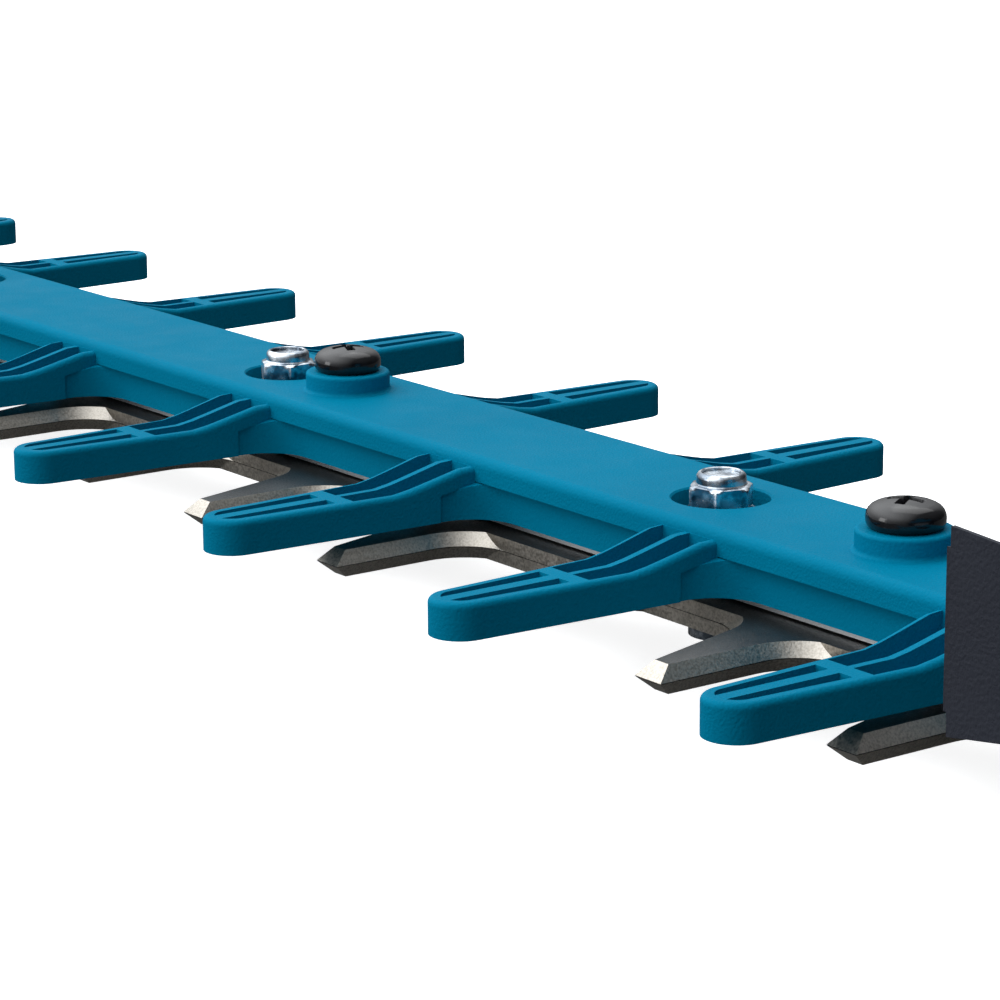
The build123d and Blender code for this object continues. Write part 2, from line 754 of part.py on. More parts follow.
def eccentric(low_z, offset_y):
    """Round eccentric disc on the crank shaft, working in one blade's yoke."""
    with BuildPart() as disc:
        with BuildSketch(Plane.XY.offset(low_z)):
            with Locations((0, offset_y)):
                Circle(crank_r)
            Circle(crank_shaft_r, mode=Mode.SUBTRACT)
        extrude(amount=blade_t)
    return disc


upper_eccentric = eccentric(upper_low_z, stroke_half)
lower_eccentric = eccentric(lower_low_z, -stroke_half)
write(upper_eccentric, "upper_eccentric")
write(lower_eccentric, "lower_eccentric")

with BuildPart() as crank_bearings:
    for low_z in (case_floor_z, case_top):
        with BuildSketch(Plane.XY.offset(low_z)):
            Circle(bearing_r)
            Circle(crank_shaft_r + run_clear, mode=Mode.SUBTRACT)
        extrude(amount=bearing_w)
write(crank_bearings, "crank_bearings")

# ---------------------------------------------------------------- motor
can_top = cover_top + motor_h
stator_low = cover_top + motor_bearing_w + 8
fan_low = can_top + motor_bearing_w + 2
fan_h = 8.0
shaft_tip = fan_low + fan_h

with BuildPart() as motor_can:
    with BuildSketch(Plane.XY.offset(cover_top)):
        with Locations((motor_x, 0)):
            Circle(motor_r)
            Circle(motor_bearing_r, mode=Mode.SUBTRACT)
    extrude(amount=motor_bearing_w)
    with BuildSketch(Plane.XY.offset(cover_top + motor_bearing_w)):
        with Locations((motor_x, 0)):
            Circle(motor_r)
            Circle(motor_r - motor_wall, mode=Mode.SUBTRACT)
    extrude(amount=motor_h - motor_bearing_w)
write(motor_can, "motor_can")

with BuildPart() as motor_end_cap:
    with BuildSketch(Plane.XY.offset(can_top)):
        with Locations((motor_x, 0)):
            Circle(motor_r)
            Circle(motor_bearing_r, mode=Mode.SUBTRACT)
        with Locations((motor_x, 0)):
            with PolarLocations(15.5, 6):
                Circle(3.5, mode=Mode.SUBTRACT)
    extrude(amount=motor_bearing_w)
write(motor_end_cap, "motor_end_cap")

with BuildPart() as motor_bearings:
    for low_z in (cover_top, can_top):
        with BuildSketch(Plane.XY.offset(low_z)):
            with Locations((motor_x, 0)):
                Circle(motor_bearing_r)
                Circle(motor_shaft_r + run_clear, mode=Mode.SUBTRACT)
        extrude(amount=motor_bearing_w)
write(motor_bearings, "motor_bearings")

with BuildPart() as motor_stator:
    with BuildSketch(Plane.XY.offset(stator_low)):
        with Locations((motor_x, 0)):
            Circle(motor_r - motor_wall)
            Circle(stator_in_r, mode=Mode.SUBTRACT)
            with PolarLocations(stator_in_r + 3.2, 12):
                Rectangle(5.5, 2.6, mode=Mode.SUBTRACT)
    extrude(amount=stator_h)
write(motor_stator, "motor_stator")

with BuildPart() as rotor_core:
    with BuildSketch(Plane.XY.offset(stator_low)):
        with Locations((motor_x, 0)):
            Circle(stator_in_r - 0.5)
            Circle(motor_shaft_r, mode=Mode.SUBTRACT)
    extrude(amount=stator_h)
write(rotor_core, "rotor_core")

with BuildPart() as motor_shaft:
    with BuildSketch(Plane.XY.offset(gear_low - 0.4)):
        with Locations((motor_x, 0)):
            Circle(motor_shaft_r)
    extrude(amount=shaft_tip - gear_low + 0.4)
write(motor_shaft, "motor_shaft")

with BuildPart() as pinion:
    with BuildSketch(Plane.XY.offset(gear_low)):
        with Locations((motor_x, 0)):
            add(gear_outline(pinion_teeth, pinion_out_r, motor_shaft_r, pi / pinion_teeth))
    extrude(amount=gear_w)
write(pinion, "pinion")

with BuildPart() as cooling_fan:
    with BuildSketch(Plane.XY.offset(fan_low)):
        with Locations((motor_x, 0)):
            Circle(fan_r)
            Circle(motor_shaft_r, mode=Mode.SUBTRACT)
    extrude(amount=1.6)
    with BuildSketch(Plane.XY.offset(fan_low)):
        with Locations((motor_x, 0)):
            Circle(6)
            Circle(motor_shaft_r, mode=Mode.SUBTRACT)
            with PolarLocations(fan_r - 8, fan_blades):
                Rectangle(14, 1.4)
    extrude(amount=fan_h)
write(cooling_fan, "cooling_fan")

# ---------------------------------------------------------------- housing halves
body_front = 50.0
body_low = 14.0
body_top = 104.0
body_back = 332.0
beam_top = 94.0
grip_low = 126.0
grip_top = 158.0
window_front = 160.0
window_back = 304.0
body_points = [
    (body_front, body_low), (126, body_low), (186, foot_z), (body_back - 4, foot_z), (body_back, 96),
    (320, 150), (296, grip_top), (168, grip_top), (134, body_top), (body_front, body_top),
]
window_points = [
    (window_front, beam_top), (window_back, beam_top), (window_back - 8, grip_low),
    (window_front + 18, grip_low + 1),
]
post_xz = [(112, 30), (153, 118), (204, 79), (316, 79), (306, 141)]
handle_x = 112.0
trigger_x = 182.0
trigger_z = 136.0
trigger_half = 6.2
button_x = 198.0
power_x = 92.0


def body_volume(inset):
    """Rear body with its D-shaped handle, drawn inwards on every side by the inset."""
    with BuildSketch() as side_view:
        with BuildLine():
            Polyline(*body_points, close=True)
        make_face()
        fillet(side_view.vertices(), body_corner)
    with BuildSketch() as window:
        with BuildLine():
            Polyline(*window_points, close=True)
        make_face()
        fillet(window.vertices(), body_corner)
    side = offset(side_view.sketch, amount=-inset) if inset else side_view.sketch
    gap = offset(window.sketch, amount=inset) if inset else window.sketch
    half = body_half - inset
    with BuildPart() as volume:
        with BuildSketch(Plane.XZ.offset(-half)):
            add(side)
        extrude(amount=2 * half)
        fillet(volume.edges().filter_by(lambda e: abs(abs(e.center().Y) - half) < 0.01), body_round - inset)
        with BuildSketch(Plane.XZ.offset(-half)):
            add(gap)
        extrude(amount=2 * half, mode=Mode.SUBTRACT)
        rim = volume.edges().filter_by(lambda e: abs(abs(e.center().Y) - half) < 0.01)
        low_x = window_front - inset - 1
        rim = rim.filter_by(lambda e: low_x < e.center().X < window_back + inset + 1)
        rim = rim.filter_by(lambda e: beam_top - inset - 1 < e.center().Z < grip_low + inset + 2)
        fillet(rim, body_round - inset - 1)
    return volume.part


def nose_volume(inset):
    """Hood over the gear case with the motor dome on it, drawn inwards by the inset."""
    low = hood_low - (inset and 2)
    length = hood_back - hood_front - 2 * inset
    with BuildPart() as volume:
        with BuildSketch(Plane.XY.offset(low)):
            with Locations(((hood_front + hood_back) / 2, 0)):
                RectangleRounded(length, 2 * (hood_half - inset), hood_corner_r - inset)
        extrude(amount=hood_top - inset - low)
        fillet(volume.faces().sort_by(Axis.Z)[-1].edges(), hood_corner_r - inset - 0.5)
        with BuildSketch(Plane.XY.offset(hood_top - 20)):
            with Locations((motor_x, 0)):
                Circle(dome_r - inset)
        extrude(amount=dome_top - inset - hood_top + 20)
        fillet(volume.faces().sort_by(Axis.Z)[-1].edges(), dome_round - inset)
    return volume.part


body_outer = body_volume(0)
body_inner = body_volume(shell_t)
nose_outer = nose_volume(0)
nose_inner = nose_volume(shell_t)
with BuildPart() as housing:
    add([body_outer, nose_outer])
    add([nose_inner, body_inner], mode=Mode.SUBTRACT)
    # screw posts across the joint, and ribs that hold the gear case
    with BuildSketch(Plane.XZ.offset(-body_half + 1)):
        with Locations(*post_xz):
            Circle(boss_post_r)
    extrude(amount=2 * body_half - 2)
    with Locations(*[(x, side * (case_half + hood_half) / 2, 30) for x in (-14, 20) for side in (-1, 1)]):
        Box(4, hood_half - case_half, 14)
    # front mouth for the gear case, and openings for the controls
    with Locations((hood_front, 0, hood_low + 9)):
        Box(4 * shell_t, 2 * (case_half + 1.3), 2 * (cover_top - hood_low - 8), mode=Mode.SUBTRACT)
    with Locations((trigger_x + 14, 0, grip_low - 6)):
        Box(42, 2 * (trigger_half + 0.4), 22, mode=Mode.SUBTRACT)
    with Locations((button_x, 0, grip_top)):
        Box(16.8, 10.8, 4 * shell_t, mode=Mode.SUBTRACT)
    with Locations((power_x, 0, body_top)):
        Cylinder(6.4, 4 * shell_t, mode=Mode.SUBTRACT)
    with Locations((power_x + 14, 0, body_top)):
        Box(8, 12, 4 * shell_t, mode=Mode.SUBTRACT)
    # cooling slots round the dome and through the belly
    with Locations((motor_x, 0, 80)):
        for start in (62, 242):
            with PolarLocations(dome_r, 5, start_angle=start, angular_range=56):
                Box(4 * shell_t, 3, 32, mode=Mode.SUBTRACT)
    with Locations(*[(x, 0, 74) for x in (137, 143, 149, 155)]):
        Box(2.8, 4 * body_half, 18, mode=Mode.SUBTRACT)
    with BuildSketch(Plane.XZ.offset(body_half + 1)):
        with Locations(*post_xz):
            Circle(post_screw_r)
    extrude(amount=-2 * body_half + 3, mode=Mode.SUBTRACT)
    with BuildSketch(Plane.XZ.offset(body_half + 1)):
        with Locations(*post_xz):
            Circle(3.9)
    extrude(amount=-5, mode=Mode.SUBTRACT)

with BuildPart() as housing_left:
    add(housing.part)
    split(bisect_by=Plane.XZ, keep=Keep.TOP)
write(housing_left, "housing_left")

with BuildPart() as housing_right:
    add(housing.part)
    split(bisect_by=Plane.XZ, keep=Keep.BOTTOM)
write(housing_right, "housing_right")

with BuildPart() as housing_screws:
    seat_y = body_half - 4
    with BuildSketch(Plane.XZ.offset(seat_y)):
        with Locations(*post_xz):
            Circle(3.6)
    extrude(amount=2.4)
    with BuildSketch(Plane.XZ.offset(seat_y)):
        with Locations(*post_xz):
            Circle(post_screw_r)
    extrude(amount=-2 * body_half + 9)
    with BuildSketch(Plane.XZ.offset(seat_y + 2.4)):
        with Locations(*post_xz):
            RegularPolygon(1.9, 6)
    extrude(amount=-1.5, mode=Mode.SUBTRACT)
write(housing_screws, "housing_screws")

grip_outer = body_volume(-grip_skin)
with BuildPart() as rear_grip:
    add(grip_outer)
    add(body_outer, mode=Mode.SUBTRACT)
    with Locations(((222 + window_back - 12) / 2, 0, grip_low + 20)):
        Box(window_back - 12 - 222, 4 * body_half, 60, mode=Mode.INTERSECT)
write(rear_grip, "rear_grip")

# ---------------------------------------------------------------- nose shroud
with BuildPart() as nose_shroud:
    cheek_back = hood_front
    with BuildSketch(Plane.XZ.offset(-hood_half)) as cheek_side:
        with BuildLine():
            Polyline(
                (cheek_front, hood_low), (cheek_back, hood_low + 1.3), (cheek_back, cheek_top - 0.6),
                (cheek_front, cheek_top), close=True,
            )
        make_face()
    extrude(amount=2 * hood_half)
    with Locations((cheek_front, 0, hood_low + 20)):
        Box(60, 2 * (hood_half - cheek_t), 60, mode=Mode.SUBTRACT)
    # the cheeks' upper edges fall away inwards
    inner = nose_shroud.edges().filter_by(lambda e: e.center().Z > cheek_top - 1)
    inner = inner.filter_by(lambda e: abs(abs(e.center().Y) - hood_half + cheek_t) < 0.01)
    chamfer(inner, 1.5, 2.6)
    # bridge in front of the gear case, notched for the bar's tongue
    with BuildSketch(Plane.YZ.offset(cheek_front - nose_t)):
        with BuildLine():
            half = hood_half - 1.8
            Polyline(
                (-half, hood_low + 2), (-tongue_half - 0.8, hood_low + 2), (-tongue_half - 0.8, case_top + 0.4),
                (tongue_half + 0.8, case_top + 0.4), (tongue_half + 0.8, hood_low + 2), (half, hood_low + 2),
                (half, cheek_top - 3), (half - 6, nose_top), (6 - half, nose_top), (-half, cheek_top - 3),
                close=True,
            )
        make_face()
    extrude(amount=nose_t)
write(nose_shroud, "nose_shroud")

# ---------------------------------------------------------------- battery mount and pack
mount_front = pack_front - 16.0
with BuildPart() as battery_mount:
    mount_len = body_back - 2 - mount_front
    middle = mount_front + mount_len / 2
    rail_low = pack_h + rail_gap
    with Locations((middle, 0, foot_z - mount_t / 2)):
        Box(mount_len, 2 * (head_half + rail_gap + rail_t), mount_t)
    for side in (-1, 1):
        with Locations((middle, side * (head_half + rail_gap + rail_t / 2), (rail_low + foot_z) / 2)):
            Box(mount_len, rail_t, foot_z - rail_low)
        with Locations((middle, side * (neck_half + rail_gap + rail_t / 2), rail_low + 1.1)):
            Box(mount_len, rail_t, 2.2)
    with Locations((mount_front + 7.8, 0, (rail_low + foot_z) / 2)):
        Box(15.6, 2 * (head_half + 1), foot_z - rail_low)
    verticals = battery_mount.edges().filter_by(Axis.Z).group_by(Axis.X)
    corner = verticals[0].filter_by(lambda e: abs(e.center().Y) > head_half + 2)
    fillet(corner, 4)
write(battery_mount, "battery_mount")

pack_middle = pack_front + pack_len / 2
tray_h = 28.0
with BuildPart() as battery_tray:
    with BuildSketch():
        with Locations((pack_middle, 0)):
            RectangleRounded(pack_len, 2 * pack_half, 9)
    extrude(amount=tray_h)
    chamfer(battery_tray.faces().sort_by(Axis.Z)[0].edges(), 3)
    with BuildSketch(Plane.XY.offset(pack_wall)):
        with Locations((pack_middle, 0)):
            RectangleRounded(pack_len - 2 * pack_wall, 2 * (pack_half - pack_wall), 9 - pack_wall)
    extrude(amount=tray_h, mode=Mode.SUBTRACT)
write(battery_tray, "battery_tray")

release_z = 45.0
release_travel = 3.0
with BuildPart() as battery_lid:
    with BuildSketch(Plane.XY.offset(tray_h)):
        with Locations((pack_middle, 0)):
            RectangleRounded(pack_len, 2 * pack_half, 9)
    extrude(amount=pack_h - tray_h)
    fillet(battery_lid.faces().sort_by(Axis.Z)[-1].edges(), 4)
    with Locations((pack_middle, 0, pack_h + neck_h / 2)):
        Box(pack_len - 12, 2 * neck_half, neck_h)
    with Locations((pack_middle, 0, pack_h + 1.5 * neck_h)):
        Box(pack_len - 12, 2 * head_half, neck_h)
    with BuildSketch(Plane.XY.offset(tray_h)):
        with Locations((pack_middle, 0)):
            RectangleRounded(pack_len - 2 * pack_wall, 2 * (pack_half - pack_wall), 9 - pack_wall)
    extrude(amount=pack_h - pack_wall - tray_h, mode=Mode.SUBTRACT)
    with Locations(*[(pack_front + 10, y, pack_top - 1) for y in (-12, 0, 12)]):
        Box(24, 2.4, 3.4, mode=Mode.SUBTRACT)
    with Locations((pack_back, 0, release_z - release_travel / 2)):
        Box(4 * pack_wall, 25.6, 8.6 + release_travel, mode=Mode.SUBTRACT)
write(battery_lid, "battery_lid")

with BuildPart() as battery_release:
    with Locations((pack_back - pack_wall + 2.2, 0, release_z)):
        Box(4.4, 25, 8)
    front_edges = battery_release.faces().sort_by(Axis.X)[-1].edges()
    fillet(front_edges, 1.2)
    with Locations((pack_back - pack_wall - 1.3, 0, release_z)):
        Box(2, 30, 12)
    with Locations((pack_back - pack_wall - 0.2, 0, release_z)):
        Box(0.6, 25, 8)
write(battery_release, "battery_release")

cell_pitch = 2 * cell_r + 0.2
cell_low = pack_wall + cell_r
cell_places = [
    (pack_middle + (i - 2) * cell_pitch, cell_low + layer * cell_pitch) for i in range(5) for layer in range(2)
]
with BuildPart() as battery_cells:
    with BuildSketch(Plane.XZ.offset(-cell_len / 2)):
        with Locations(*cell_places):
            Circle(cell_r)
    extrude(amount=cell_len)
write(battery_cells, "battery_cells")

with BuildPart() as battery_terminals:
    with Locations(*[(mount_front + 15.6 + 4.5, y, pack_top - 1.2) for y in (-12, 0, 12)]):
        Box(9, 1, 2)
write(battery_terminals, "battery_terminals")

# ---------------------------------------------------------------- rear controls
with BuildPart() as trigger:
    with BuildSketch(Plane.XZ.offset(-trigger_half)) as lever:
        with BuildLine():
            Polyline(
                (-5, -5), (-5, 4), (6, 5), (30, -2), (32, -14), (24, -24), (16, -25), (8, -19), (-2, -12),
                close=True,
            )
        make_face()
        fillet(lever.vertices(), 2.4)
    extrude(amount=2 * trigger_half)
    soft = trigger.edges().filter_by(lambda e: abs(abs(e.center().Y) - trigger_half) < 0.01)
    fillet(soft.filter_by(lambda e: e.center().Z < -10), 1.4)
    with BuildSketch(Plane.XZ.offset(-body_half)):
        Circle(2 + run_clear)
    extrude(amount=2 * body_half, mode=Mode.SUBTRACT)
trigger.part = Pos(trigger_x, 0, trigger_z) * trigger.part
write(trigger, "trigger")

with BuildPart() as trigger_pin:
    with BuildSketch(Plane.XZ.offset(-body_half + shell_t)):
        with Locations((trigger_x, trigger_z)):
            Circle(2)
    extrude(amount=2 * (body_half - shell_t))
write(trigger_pin, "trigger_pin")

with BuildPart() as trigger_switch:
    with Locations((button_x + 2, 0, trigger_z + 9.6)):
        Box(28, 2 * (body_half - shell_t), 5.2)
write(trigger_switch, "trigger_switch")

with BuildPart() as lock_off_button:
    with Locations((button_x, 0, grip_top - 1.5)):
        Box(16, 10, 9)
    fillet(lock_off_button.faces().sort_by(Axis.Z)[-1].edges(), 1.5)
    with Locations((button_x, 0, grip_top - shell_t - 1.9)):
        Box(21, 15, 3)
write(lock_off_button, "lock_off_button")

with BuildPart() as power_button:
    with BuildSketch(Plane.XY.offset(body_top - shell_t)):
        with Locations((power_x, 0)):
            Circle(6)
    extrude(amount=shell_t + 1.2)
    fillet(power_button.faces().sort_by(Axis.Z)[-1].edges(), 0.8)
    with BuildSketch(Plane.XY.offset(body_top - shell_t - 2.4)):
        with Locations((power_x, 0)):
            Circle(8)
    extrude(amount=2)
    with BuildSketch(Plane.XY.offset(body_top - shell_t - 0.5)):
        with Locations((power_x, 0)):
            Circle(6)
    extrude(amount=0.6)
write(power_button, "power_button")

with BuildPart() as indicator_lens:
    with Locations((power_x + 14, 0, body_top - shell_t / 2 + 0.2)):
        Box(8, 12, shell_t + 0.4)
write(indicator_lens, "indicator_lens")

with BuildPart() as controller_board:
    with Locations((82, 0, 30)):
        Box(42, 2 * (body_half - shell_t), 1.6)
    with Locations((68, 0, 34.8), (82, -6, 34.8), (82, 6, 34.8), (96, 0, 34.8)):
        Box(9, 8, 8)
write(controller_board, "controller_board")

# ---------------------------------------------------------------- front handle
foot_r = 17.0
foot_t = 4.0
bend_r = 36.0
tube_wall = 3.0
lever_travel = 2.2
lever_half = 46.0
with BuildPart() as front_handle:
    with BuildLine():
        FilletPolyline(
            (handle_x, -body_half, handle_base_z), (handle_x, -front_handle_half, handle_base_z),
            (handle_x, -front_handle_half, front_handle_top), (handle_x, front_handle_half, front_handle_top),
            (handle_x, front_handle_half, handle_base_z), (handle_x, body_half, handle_base_z),
            radius=bend_r,
        )
    with BuildSketch(Plane((handle_x, -body_half, handle_base_z), z_dir=(0, -1, 0))):
        Circle(front_handle_r)
        Circle(front_handle_r - tube_wall, mode=Mode.SUBTRACT)
    sweep()
    for side in (-1, 1):
        with BuildSketch(Plane((handle_x, side * body_half, handle_base_z), z_dir=(0, side, 0))):
            Circle(foot_r)
        extrude(amount=foot_t)
        with Locations(Plane((handle_x, side * body_half, handle_base_z), z_dir=(0, side, 0))):
            Cylinder(2.2, 4 * foot_t, mode=Mode.SUBTRACT)
    with Locations((handle_x, 0, front_handle_top - front_handle_r + tube_wall / 2)):
        Box(7.2, 2 * lever_half + 2, 2 * tube_wall + 2, mode=Mode.SUBTRACT)
write(front_handle, "front_handle")

with BuildPart() as front_handle_screws:
    for side in (-1, 1):
        with BuildSketch(Plane((handle_x, side * (body_half + foot_t), handle_base_z), z_dir=(0, side, 0))):
            Circle(4.5)
        extrude(amount=3)
        with BuildSketch(Plane((handle_x, side * (body_half + foot_t), handle_base_z), z_dir=(0, side, 0))):
            Circle(2.2)
        extrude(amount=-foot_t)
write(front_handle_screws, "front_handle_screws")

lever_top = front_handle_top - front_handle_r - lever_travel - body_gap
with BuildPart() as front_switch_lever:
    with BuildSketch(Plane.XY.offset(lever_top - 7)):
        with Locations((handle_x, 0)):
            RectangleRounded(15, 2 * lever_half, 6)
    extrude(amount=7)
    fillet(front_switch_lever.faces().sort_by(Axis.Z)[0].edges(), 3)
    fillet(front_switch_lever.faces().sort_by(Axis.Z)[-1].edges(), 1)
    with Locations((handle_x, 0, lever_top + 4)):
        Box(6, 2 * lever_half - 4, 10)
write(front_switch_lever, "front_switch_lever")

with BuildPart() as front_switch:
    with Locations((handle_x, 0, front_handle_top + 3.6)):
        Box(8, 22, 12)
write(front_switch, "front_switch")

# ---------------------------------------------------------------- hand guard
tab_x = 87.5
shield_screw_z = (60.0 + 9, 60.0 + 22)
with BuildPart() as hand_guard:
    with BuildSketch(Plane.YZ.offset(hood_front)) as shield_view:
        with BuildLine():
            Polyline(
                (-shield_half + 10, shield_low), (-shield_half, shield_low + 50), (-shield_half + 14, shield_top),
                (shield_half - 14, shield_top), (shield_half, shield_low + 50), (shield_half - 10, shield_low),
                close=True,
            )
        make_face()
        fillet(shield_view.vertices(), 24)
        with Locations((0, (shield_low + body_top) / 2 - 20)):
            Rectangle(2 * (body_half + 0.4), body_top - shield_low + 40.8, mode=Mode.SUBTRACT)
    extrude(amount=2 * shield_x - hood_front)
    with BuildSketch(Plane.XY.offset(shield_low - 10)):
        with Locations((shield_x + shield_t - shield_bend_r, 0)):
            Circle(shield_bend_r)
            Circle(shield_bend_r - shield_t, mode=Mode.SUBTRACT)
    extrude(amount=shield_top, mode=Mode.INTERSECT)
    for side in (-1, 1):
        with Locations((tab_x, side * (body_half + 1.8), sum(shield_screw_z) / 2)):
            Box(13, 3.6, 26)
        for z in shield_screw_z:
            with Locations(Plane((tab_x + 1.5, side * body_half, z), z_dir=(0, side, 0))):
                Cylinder(1.8, 20, mode=Mode.SUBTRACT)
write(hand_guard, "hand_guard")

with BuildPart() as hand_guard_screws:
    for side in (-1, 1):
        for z in shield_screw_z:
            with BuildSketch(Plane((tab_x + 1.5, side * (body_half + 3.6), z), z_dir=(0, side, 0))):
                Circle(3.4)
            extrude(amount=2.2)
            with BuildSketch(Plane((tab_x + 1.5, side * (body_half + 3.6), z), z_dir=(0, side, 0))):
                Circle(1.8)
            extrude(amount=-3.6)
write(hand_guard_screws, "hand_guard_screws")
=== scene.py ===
import math

import bmesh
import bpy
import numpy as np
from mathutils import Matrix, Vector


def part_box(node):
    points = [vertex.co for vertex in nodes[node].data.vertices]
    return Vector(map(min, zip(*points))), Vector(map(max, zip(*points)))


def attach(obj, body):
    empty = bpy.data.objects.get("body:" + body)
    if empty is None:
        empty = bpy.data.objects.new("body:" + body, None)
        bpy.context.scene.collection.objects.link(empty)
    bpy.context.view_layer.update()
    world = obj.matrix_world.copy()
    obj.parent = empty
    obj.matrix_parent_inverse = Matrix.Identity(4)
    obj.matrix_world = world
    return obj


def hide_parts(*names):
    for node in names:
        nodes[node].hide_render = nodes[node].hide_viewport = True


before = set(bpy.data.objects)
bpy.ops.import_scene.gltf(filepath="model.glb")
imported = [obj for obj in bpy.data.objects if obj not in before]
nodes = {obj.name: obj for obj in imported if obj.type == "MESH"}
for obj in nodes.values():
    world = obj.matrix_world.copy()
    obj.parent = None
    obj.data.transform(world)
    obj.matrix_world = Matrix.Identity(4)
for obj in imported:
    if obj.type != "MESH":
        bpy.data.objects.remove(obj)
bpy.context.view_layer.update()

# Where the trimmer is looked at from: close by its left side, behind the front handle, forward and down
# along the cutter bar through a long lens. The camera's three axes point right, up, and back from the view.
scene = bpy.context.scene
scene.view_settings.view_transform = "Standard"
lens_mm = 125.113
film_mm = 36.0
nearest_seen = 0.01
farthest_seen = 50.0
eye = Vector((0.215895, -0.290945, 0.133989))
look_azimuth = -0.9333
look_drop = 0.2393
head_tilt = -0.0049
ahead = Vector((
    math.sin(look_azimuth) * math.cos(look_drop),
    math.cos(look_azimuth) * math.cos(look_drop),
    -math.sin(look_drop),
))
level_right = Vector((math.cos(look_azimuth), -math.sin(look_azimuth), 0.0))
level_up = level_right.cross(ahead)
right = level_right * math.cos(head_tilt) + level_up * math.sin(head_tilt)
up = level_up * math.cos(head_tilt) - level_right * math.sin(head_tilt)
eye_data = bpy.data.cameras.new("eye")
eye_data.lens = lens_mm
eye_data.sensor_width = film_mm
eye_data.clip_start = nearest_seen
eye_data.clip_end = farthest_seen
camera = bpy.data.objects.new("eye", eye_data)
camera.matrix_world = Matrix((
    (right.x, up.x, -ahead.x, eye.x),
    (right.y, up.y, -ahead.y, eye.y),
    (right.z, up.z, -ahead.z, eye.z),
    (0.0, 0.0, 0.0, 1.0),
))
scene.collection.objects.link(camera)
scene.camera = camera

# The studio: a wide white table under a bright, even room, with one large soft panel overhead and a
# weaker one on the left side. The camera sees plain white walls and a table that glows a little, so that
# shadows on it stay pale. The trimmer is lit by a room that is brighter above and on the window side.
wall_light = 0.42
ceiling_light = 2.35
shaded_wall = 0.10
bright_wall = 1.7
bright_side = (-0.80, -0.60, 0.0)
daylight = (0.95, 0.975, 1.0, 1.0)
plain_white = (1.0, 1.0, 1.0, 1.0)
table_half = 40.0
table_sunk = 0.0002
table_white = 0.80
table_glow = 0.80
table_bounce = 0.10
table_rough = 0.9
table_gloss = 0.1


def spread(tree, value, low, high, to_low, to_high):
    """Maps value from the range low to high onto to_low to to_high, held at the ends."""
    ramp = tree.nodes.new("ShaderNodeMapRange")
    for socket, number in zip(("From Min", "From Max", "To Min", "To Max"), (low, high, to_low, to_high)):
        ramp.inputs[socket].default_value = number
    tree.links.new(value, ramp.inputs["Value"])
    return ramp.outputs["Result"]


sky = bpy.data.worlds.new("studio")
sky.use_nodes = True
room = sky.node_tree
heading = room.nodes.new("ShaderNodeTexCoord").outputs["Generated"]
toward_ceiling = room.nodes.new("ShaderNodeSeparateXYZ")
room.links.new(heading, toward_ceiling.inputs["Vector"])
brightening = spread(room, toward_ceiling.outputs["Z"], 0.05, 0.95, wall_light, ceiling_light)
brightening.node.interpolation_type = "SMOOTHSTEP"
# the window side of the room is brighter than the side behind the handles
sideways = room.nodes.new("ShaderNodeVectorMath")
sideways.operation = "DOT_PRODUCT"
sideways.inputs[1].default_value = bright_side
room.links.new(heading, sideways.inputs[0])
side_share = spread(room, sideways.outputs["Value"], -0.5, 0.9, shaded_wall, bright_wall)
room_strength = room.nodes.new("ShaderNodeMath")
room_strength.operation = "MULTIPLY"
room.links.new(brightening, room_strength.inputs[0])
room.links.new(side_share, room_strength.inputs[1])
lit_room = room.nodes["Background"]
lit_room.inputs["Color"].default_value = daylight
room.links.new(room_strength.outputs["Value"], lit_room.inputs["Strength"])
# the walls themselves are seen as plain white
white_room = room.nodes.new("ShaderNodeBackground")
white_room.inputs["Color"].default_value = plain_white
seen = room.nodes.new("ShaderNodeMixShader")
room.links.new(room.nodes.new("ShaderNodeLightPath").outputs["Is Camera Ray"], seen.inputs["Fac"])
room.links.new(lit_room.outputs["Background"], seen.inputs[1])
room.links.new(white_room.outputs["Background"], seen.inputs[2])
room.links.new(seen.outputs["Shader"], room.nodes["World Output"].inputs["Surface"])
scene.world = sky

table_mesh = bpy.data.meshes.new("table")
table_mesh.from_pydata(
    [(x * table_half, y * table_half, -table_sunk) for x, y in ((-1, -1), (1, -1), (1, 1), (-1, 1))],
    [],
    [(0, 1, 2, 3)],
)
table = bpy.data.objects.new("table", table_mesh)
scene.collection.objects.link(table)
table_paint = bpy.data.materials.new("table_white")
table_paint.use_nodes = True
top = table_paint.node_tree
paint = top.nodes["Principled BSDF"]
paint.inputs["Base Color"].default_value = (table_white, table_white, table_white, 1.0)
paint.inputs["Roughness"].default_value = table_rough
paint.inputs["Specular IOR Level"].default_value = table_gloss
paint.inputs["Emission Color"].default_value = plain_white
paint.inputs["Emission Strength"].default_value = table_glow
# the table is matt enough to throw little light back up under the trimmer
dull_table = top.nodes.new("ShaderNodeBsdfDiffuse")
dull_table.inputs["Color"].default_value = (table_bounce, table_bounce, table_bounce, 1.0)
table_seen = top.nodes.new("ShaderNodeMixShader")
top.links.new(top.nodes.new("ShaderNodeLightPath").outputs["Is Camera Ray"], table_seen.inputs["Fac"])
top.links.new(dull_table.outputs["BSDF"], table_seen.inputs[1])
top.links.new(paint.outputs["BSDF"], table_seen.inputs[2])
top.links.new(table_seen.outputs["Shader"], top.nodes["Material Output"].inputs["Surface"])
table_mesh.materials.append(table_paint)


def soft_panel(name, place, target, size, watts):
    """A square area light at place, facing target, of that width in metres and that power."""
    panel = bpy.data.lights.new(name, "AREA")
    panel.shape = "SQUARE"
    panel.size = size
    panel.energy = watts
    holder = bpy.data.objects.new(name, panel)
    holder.location = place
    toward = Vector(target) - Vector(place)
    holder.rotation_euler = toward.to_track_quat("-Z", "Y").to_euler()
    scene.collection.objects.link(holder)


